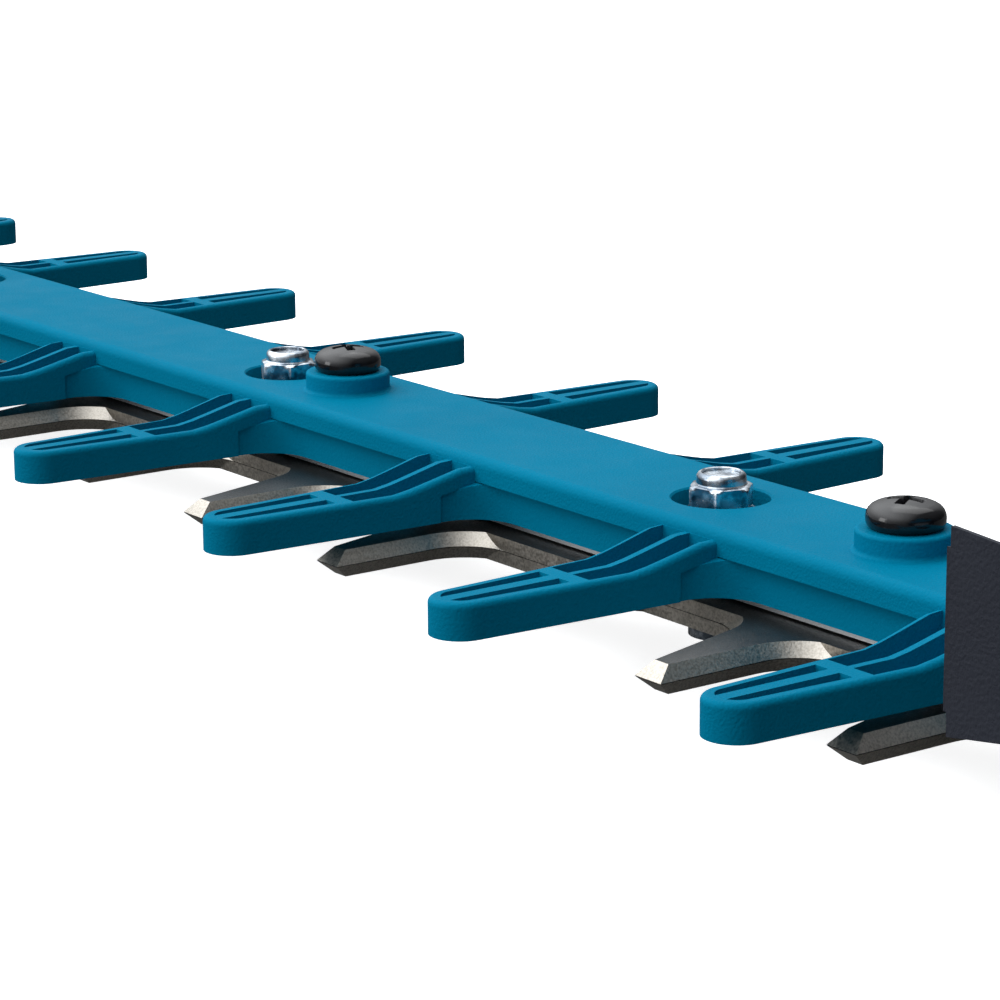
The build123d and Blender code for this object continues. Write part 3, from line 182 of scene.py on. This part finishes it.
soft_panel("overhead_panel", place=(-0.5, 0.7, 1.6), target=(-0.15, 0.0, 0.0), size=1.4, watts=5.0)
soft_panel("left_panel", place=(-0.75, -1.5, 0.42), target=(-0.2, 0.0, 0.03), size=0.6, watts=3.4)

# The guard over the bar is one moulding of teal glass-filled nylon: a long plate with staggered, cored
# fingers down both sides. Its faces have the fine, even grain of a spark-eroded mould.
teal = (0.0, 0.170, 0.292)
teal_pale = (0.0, 0.184, 0.314)


def finish_named(name, rough, metal=0.0, gloss=0.5):
    """A new surface finish with its shader's own sockets set. Returns the finish, its nodes and shader."""
    made = bpy.data.materials.new(name)
    made.use_nodes = True
    shader = made.node_tree.nodes["Principled BSDF"]
    shader.inputs["Roughness"].default_value = rough
    shader.inputs["Metallic"].default_value = metal
    shader.inputs["Specular IOR Level"].default_value = gloss
    return made, made.node_tree, shader


def speckle(tree, per_metre, detail=3.0, stretch=None):
    """Noise on the piece's own coordinates, with that many cells to a metre, longer along stretched axes."""
    place = tree.nodes.new("ShaderNodeTexCoord").outputs["Object"]
    if stretch:
        scaling = tree.nodes.new("ShaderNodeMapping")
        scaling.inputs["Scale"].default_value = stretch
        tree.links.new(place, scaling.inputs["Vector"])
        place = scaling.outputs["Vector"]
    noise = tree.nodes.new("ShaderNodeTexNoise")
    noise.inputs["Scale"].default_value = per_metre
    noise.inputs["Detail"].default_value = detail
    tree.links.new(place, noise.inputs["Vector"])
    return noise.outputs["Fac"]


def between(tree, share, first, second):
    """A colour that goes from first to second as share goes from 0 to 1; either may be a socket."""
    mix = tree.nodes.new("ShaderNodeMix")
    mix.data_type = "RGBA"
    tree.links.new(share, mix.inputs[0])
    for socket, colour in ((mix.inputs[6], first), (mix.inputs[7], second)):
        if isinstance(colour, tuple):
            socket.default_value = (*colour, 1.0)
        else:
            tree.links.new(colour, socket)
    return mix.outputs[2]


def coloured(tree, shader, share, dark, pale):
    """The surface's colour goes from dark to pale as share goes from 0 to 1; either may be a socket."""
    tree.links.new(between(tree, share, dark, pale), shader.inputs["Base Color"])


def roughened(tree, shader, value, smooth, rough, low=0.3, high=0.7):
    """The surface's roughness goes from smooth to rough as value goes from low to high."""
    tree.links.new(spread(tree, value, low, high, smooth, rough), shader.inputs["Roughness"])


def relief(tree, shader, height, depth, strength=1.0):
    """Raises the surface by height times depth metres, as the light sees it, on top of any relief it has."""
    bump = tree.nodes.new("ShaderNodeBump")
    bump.inputs["Distance"].default_value = depth
    bump.inputs["Strength"].default_value = strength
    tree.links.new(height, bump.inputs["Height"])
    if shader.inputs["Normal"].is_linked:
        tree.links.new(shader.inputs["Normal"].links[0].from_socket, bump.inputs["Normal"])
    tree.links.new(bump.outputs["Normal"], shader.inputs["Normal"])


def moulded(name, dark, pale, rough=0.5, gloss=0.3, grain=1800.0, depth=0.00006):
    """Moulded plastic: fine grain, broad drifts of colour from its flow, and patches rubbed smoother."""
    made, tree, shader = finish_named(name, rough, 0.0, gloss)
    drift = spread(tree, speckle(tree, 35.0, 4.0), 0.35, 0.65, 0.0, 1.0)
    fine = spread(tree, speckle(tree, grain, 2.0), 0.3, 0.7, 0.0, 1.0)
    coloured(tree, shader, drift, dark, pale)
    roughened(tree, shader, speckle(tree, 120.0), rough - 0.07, rough + 0.07)
    relief(tree, shader, fine, depth)
    return made


def wear(finish, *names):
    """Puts the finish on every face of the named CAD nodes."""
    for name in names:
        mesh = nodes[name].data
        mesh.materials.clear()
        mesh.materials.append(finish)


teal_plastic = moulded("teal_nylon", teal, teal_pale, 0.50, gloss=0.012, grain=2600.0, depth=0.00004)
wear(teal_plastic, "tooth_guard")

# The guide bar is a flat strip of cold-rolled steel, nickel plated, as long as the guard. Its sides show as
# a pale line under the guard's skirt.
nickel, tree, shader = finish_named("nickel_strip", 0.38, 0.85)
drawn = speckle(tree, 260.0, 5.0, (0.06, 1.0, 1.0))
coloured(tree, shader, drawn, (0.74, 0.75, 0.77), (0.92, 0.93, 0.94))
roughened(tree, shader, drawn, 0.24, 0.42)
relief(tree, shader, drawn, 0.00004)
wear(nickel, "guide_bar")

# The two shear blades are stamped from spring steel. The stamped walls are raw and speckled, the bevels are
# ground across, and the faces that lie flat, up or down, get a darker, cloudy colour: painted shade.
raw_dark = (0.36, 0.33, 0.285)
raw_pale = (0.60, 0.56, 0.50)
# painted shade: the dark colours that every flat blade face is given
shaded_flat_dark = (0.085, 0.088, 0.088)
shaded_flat_pale = (0.16, 0.158, 0.152)
blade_steel, tree, shader = finish_named("shear_steel", 0.36, 1.0)
split = tree.nodes.new("ShaderNodeSeparateXYZ")
tree.links.new(tree.nodes.new("ShaderNodeTexCoord").outputs["Normal"], split.inputs["Vector"])
upright = tree.nodes.new("ShaderNodeMath")
upright.operation = "ABSOLUTE"
tree.links.new(split.outputs["Z"], upright.inputs[0])
# painted shade mask: a face takes the dark colour the more its normal points straight up or down
flat_shade_share = spread(tree, upright.outputs["Value"], 0.86, 0.97, 0.0, 1.0)
pits = speckle(tree, 3200.0, 6.0)
clouds = speckle(tree, 70.0, 5.0)
raw = between(tree, spread(tree, pits, 0.30, 0.62, 0.0, 1.0), raw_dark, raw_pale)
shaded_flat = between(tree, spread(tree, clouds, 0.35, 0.65, 0.0, 1.0), shaded_flat_dark, shaded_flat_pale)
coloured(tree, shader, flat_shade_share, raw, shaded_flat)
roughened(tree, shader, pits, 0.28, 0.5)
relief(tree, shader, pits, 0.00003)
relief(tree, shader, speckle(tree, 700.0, 3.0, (1.0, 0.06, 1.0)), 0.00003)
wear(blade_steel, "upper_blade", "lower_blade")

# Bolts, sleeves, washers and spacers that hold the blades up to the bar are bright zinc-plated steel. So are
# the screws of the cases and handles, and the trigger's pin.
zinc, tree, shader = finish_named("bright_zinc", 0.22, 1.0)
dull = speckle(tree, 420.0, 5.0)
clouded = spread(tree, dull, 0.42, 0.60, 0.0, 1.0)
coloured(tree, shader, clouded, (0.20, 0.24, 0.29), (0.78, 0.84, 0.90))
roughened(tree, shader, dull, 0.15, 0.34)
relief(tree, shader, speckle(tree, 1400.0), 0.00003)
wear(zinc, "blade_bolts", "bolt_sleeves", "blade_washers", "nut_spacers", "bar_root_screws")
wear(zinc, "case_screws", "bottom_cover_screws", "housing_screws", "front_handle_screws", "hand_guard_screws")
wear(zinc, "trigger_pin")

# Each bolt is closed on top by a prevailing-torque nut: a cold-forged hexagon, chamfered at both ends, with
# a round collar whose rim is rolled in over its locking ring. It is plated like the bolts. Each ring of the
# profile is a radius and a height.
nut_count = 5
first_nut = -0.1275
nut_pitch = 0.105
first_nut_turn = 0.20
nut_turn_step = 0.37
nut_flat = 0.00396
nut_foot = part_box("lock_nuts")[0].z
nut_rings_mm = np.array((
    (3.60, 0.00), (4.05, 0.00), (4.60, 0.32), (4.60, 2.75), (4.40, 3.02), (4.12, 3.22),
    (3.80, 3.34), (3.50, 3.40), (3.38, 3.55), (3.36, 4.25), (3.30, 4.55), (3.12, 4.82),
    (2.92, 4.97), (2.74, 5.00), (2.62, 4.90), (2.60, 4.60), (2.60, 3.90),
))
round_steps = 96
sharp_edge = math.radians(32)


def ring_body(name, x, y, z):
    """A closed skin over rings of points: x, y and z are rings by steps, from the lowest ring to the last.

    Each ring is joined to the next and closes on itself; a middle point closes the first and last rings."""
    rings, steps = x.shape
    points = np.stack((x, y, z), axis=-1).reshape(-1, 3)
    ends = np.array((points[:steps].mean(0), points[-steps:].mean(0)))
    ring, step = np.meshgrid(np.arange(rings - 1) * steps, np.arange(steps), indexing="ij")
    here = (ring + step).ravel()
    beside = (ring + (step + 1) % steps).ravel()
    quads = np.stack((here, beside, beside + steps, here + steps), axis=1)
    turn = np.arange(steps)
    last = (rings - 1) * steps
    onward = (turn + 1) % steps
    first_cap = np.stack((np.full(steps, rings * steps), onward, turn), axis=1)
    last_cap = np.stack((np.full(steps, rings * steps + 1), last + turn, last + onward), axis=1)
    faces = quads.tolist() + first_cap.tolist() + last_cap.tolist()
    mesh = bpy.data.meshes.new(name)
    mesh.from_pydata(np.vstack((points, ends)).tolist(), [], faces)
    mesh.polygons.foreach_set("use_smooth", np.ones(len(mesh.polygons), dtype=bool))
    mesh.set_sharp_from_angle(angle=sharp_edge)
    return mesh


def gathered(name, meshes, finish, body, stands_for):
    """One piece out of several meshes, in place, that rides on body and stands for a CAD node."""
    whole = bmesh.new()
    for mesh in meshes:
        whole.from_mesh(mesh)
        bpy.data.meshes.remove(mesh)
    joined = bpy.data.meshes.new(name)
    whole.to_mesh(joined)
    whole.free()
    joined.materials.append(finish)
    piece = bpy.data.objects.new(name, joined)
    scene.collection.objects.link(piece)
    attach(piece, body)
    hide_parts(stands_for)


def lock_nut(place, turned_by):
    """Nut: a ring's radius is the smaller of its own and the hexagon's.

    The hexagon's radius is nut_flat over the cosine of the angle from the middle of the nearest flat."""
    angle = np.linspace(0.0, 2 * np.pi, round_steps, endpoint=False)
    off_flat = (angle % (np.pi / 3)) - np.pi / 6
    hexagon = nut_flat / np.cos(off_flat)
    radius = np.minimum(hexagon[None, :], nut_rings_mm[:, :1] / 1000)
    height = nut_foot + np.repeat(nut_rings_mm[:, 1:] / 1000, round_steps, axis=1)
    x = place + radius * np.cos(angle + turned_by)
    y = radius * np.sin(angle + turned_by)
    return ring_body("nut", x, y, height)


nuts = [lock_nut(first_nut - nut_pitch * i, first_nut_turn + nut_turn_step * i) for i in range(nut_count)]
gathered("collared_nuts", nuts, zinc, "housing", "lock_nuts")

# The guard screws are thread-forming steel screws with pan heads, a cross recess and gloss black plating.
# Five stand on the guard's bosses and one is sunk below its top, next to the nose.
black_plate, tree, shader = finish_named("black_plating", 0.14, 0.0, 0.55)
worn = spread(tree, speckle(tree, 600.0, 4.0), 0.35, 0.7, 0.0, 1.0)
coloured(tree, shader, worn, (0.003, 0.003, 0.004), (0.009, 0.009, 0.011))
roughened(tree, shader, worn, 0.10, 0.22, low=0.0, high=1.0)
relief(tree, shader, speckle(tree, 1500.0), 0.00001)
guard_screw_places = (-0.0919, -0.2158, -0.3542, -0.4592, -0.5642)
sunk_screw_place = -0.0730
boss_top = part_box("tooth_guard")[1].z
sunk_floor = 0.0204
first_screw_turn = 0.45
screw_turn_step = 0.8
sunk_screw_turn = 0.3
shank_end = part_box("guard_screws")[0].z
shank_r = 0.0020
shank_point = 0.0005
point_share = 0.8
head_lap = 0.00002
head_side_mm = np.array((
    (3.90, 0.00), (4.55, 0.10), (4.92, 0.42), (5.08, 0.90), (5.10, 1.45),
    (5.02, 1.95), (4.80, 2.42), (4.45, 2.80), (4.05, 3.05), (3.70, 3.20),
))
head_shoulder = 0.003
head_crown = 0.0038
crown_r = 0.0036
crown_eye = 0.00006
crown_lip = 0.00004
crown_rings = 44
cross_reach = 0.0023
cross_half = 0.00052
cross_soft = 0.00022
cross_deep = 0.0017
cross_taper = 0.45


def pan_head(place, foot, turned_by):
    """Screw: straight shank, a rounded side, and a crown that sinks by a cross-shaped step.

    Crown height is head_crown less a square law of radius. The step's share falls from 1 to 0 across the
    cross's edge, whose distance is the lesser of the two arms' box distances."""
    angle = np.linspace(0.0, 2 * np.pi, round_steps, endpoint=False)
    crown = np.linspace(crown_r, crown_eye, crown_rings)
    fall = (head_crown - head_side_mm[-1, 1] / 1000 - crown_lip) * (crown / crown_r) ** 2
    radius = np.concatenate(((shank_r * point_share, shank_r, shank_r), head_side_mm[:, 0] / 1000, crown))
    level = np.concatenate((
        (shank_end - foot, shank_end - foot + shank_point, -head_lap),
        head_side_mm[:, 1] / 1000,
        head_crown - fall,
    ))
    x = radius[:, None] * np.cos(angle)
    y = radius[:, None] * np.sin(angle)
    arm_x = np.maximum(np.abs(x) - cross_reach, np.abs(y) - cross_half)
    arm_y = np.maximum(np.abs(y) - cross_reach, np.abs(x) - cross_half)
    share = np.clip(0.5 - np.minimum(arm_x, arm_y) / cross_soft, 0.0, 1.0)
    on_crown = (level[:, None] > head_shoulder) * (radius[:, None] <= crown_r)
    sink = on_crown * share * cross_deep * (1.0 - cross_taper * radius[:, None] / cross_reach)
    z = foot + level[:, None] - sink
    turn_x = place + x * math.cos(turned_by) - y * math.sin(turned_by)
    turn_y = x * math.sin(turned_by) + y * math.cos(turned_by)
    return ring_body("screw", turn_x, turn_y, z)


screws = [
    pan_head(x, boss_top, first_screw_turn + screw_turn_step * i)
    for i, x in enumerate(guard_screw_places)
]
screws.append(pan_head(sunk_screw_place, sunk_floor, sunk_screw_turn))
gathered("pan_head_screws", screws, black_plate, "housing", "guard_screws")

# The gear case and its cover are die-cast aluminium, shot-blasted to an even, slightly rough grey and
# screwed together round the drive.
cast, tree, shader = finish_named("die_cast_aluminium", 0.48, 1.0)
blast = speckle(tree, 1300.0, 4.0)
coloured(tree, shader, blast, (0.34, 0.35, 0.37), (0.56, 0.57, 0.59))
roughened(tree, shader, speckle(tree, 90.0), 0.4, 0.58)
relief(tree, shader, blast, 0.00012)
wear(cast, "gear_case", "gear_case_cover")

# The drive runs in the gear case: a hobbed crank gear and its shaft, two eccentrics, and a pinion, all of
# hardened steel with turned faces. The motor's shaft, core and can and the bearing rings are turned too.
machined, tree, shader = finish_named("machined_steel", 0.3, 1.0)
turned = speckle(tree, 500.0, 4.0, (1.0, 1.0, 0.2))
coloured(tree, shader, turned, (0.32, 0.32, 0.33), (0.58, 0.58, 0.58))
roughened(tree, shader, turned, 0.22, 0.4)
relief(tree, shader, turned, 0.00003)
wear(machined, "crank_gear", "crank_shaft", "upper_eccentric", "lower_eccentric", "pinion", "motor_shaft")
wear(machined, "crank_bearings", "motor_bearings", "rotor_core", "motor_can")

# The stator's enamelled windings and the battery's blade contacts are copper, lacquered on the windings.
copper, tree, shader = finish_named("enamelled_copper", 0.3, 1.0)
wound = speckle(tree, 900.0, 3.0, (1.0, 1.0, 0.15))
coloured(tree, shader, wound, (0.42, 0.17, 0.07), (0.78, 0.42, 0.24))
roughened(tree, shader, wound, 0.22, 0.42)
relief(tree, shader, wound, 0.00008)
wear(copper, "motor_stator", "battery_terminals")

# The housing is two teal mouldings of the same nylon as the guard, screwed together down the middle of
# the trimmer.
wear(teal_plastic, "housing_left", "housing_right")

# Nose shroud, bottom cover, hand guard, battery mount and battery case are charcoal nylon, grained like
# the housing.
charcoal = moulded("charcoal_nylon", (0.018, 0.020, 0.028), (0.028, 0.031, 0.042), rough=0.55, gloss=0.12)
wear(charcoal, "nose_shroud", "bottom_cover", "battery_mount", "hand_guard", "battery_tray", "battery_lid")

# The grips are soft rubber, dull and slightly pebbled: a sleeve on the rear handle and a coat over the
# whole of the front one.
rubber = moulded("soft_rubber", (0.010, 0.010, 0.012), (0.018, 0.018, 0.020), 0.72, 0.25, 700.0, 0.00018)
wear(rubber, "rear_grip", "front_handle")

# Trigger, lever, buttons, switches, fan and the motor's end cap are satin black acetal, moulded with
# almost no grain.
acetal = moulded("black_acetal", (0.012, 0.012, 0.014), (0.020, 0.020, 0.023), 0.36, 0.45, 2200.0, 0.00003)
wear(acetal, "trigger", "lock_off_button", "front_switch_lever", "power_button", "trigger_switch")
wear(acetal, "front_switch", "cooling_fan", "motor_end_cap")

# The battery's release key is acetal too, moulded in red so that it's found at once. It slides in the
# battery's case.
red = moulded("red_acetal", (0.42, 0.025, 0.015), (0.52, 0.04, 0.02), 0.4, 0.4)
wear(red, "battery_release")

# The ten cells in the battery wear green shrink sleeve, glossy and a little creased where it was drawn
# tight by heat.
sleeve = moulded("shrink_sleeve", (0.02, 0.16, 0.07), (0.03, 0.21, 0.10), 0.28, 0.5, 150.0, 0.0002)
wear(sleeve, "battery_cells")

# The lamp by the power key has a clear polycarbonate lens, faintly frosted to hide what is behind it,
# and pushed into the housing.
lens, tree, shader = finish_named("frosted_lens", 0.25)
frost = speckle(tree, 900.0)
coloured(tree, shader, frost, (0.62, 0.70, 0.70), (0.80, 0.86, 0.86))
relief(tree, shader, frost, 0.00004)
shader.inputs["Transmission Weight"].default_value = 0.35
wear(lens, "indicator_lens")

# The speed controller is a green fibreglass board under a dull lacquer, held between the two halves of
# the housing.
board = moulded("lacquered_board", (0.008, 0.10, 0.035), (0.015, 0.14, 0.05), 0.35, 0.5, 500.0, 0.0001)
wear(board, "controller_board")
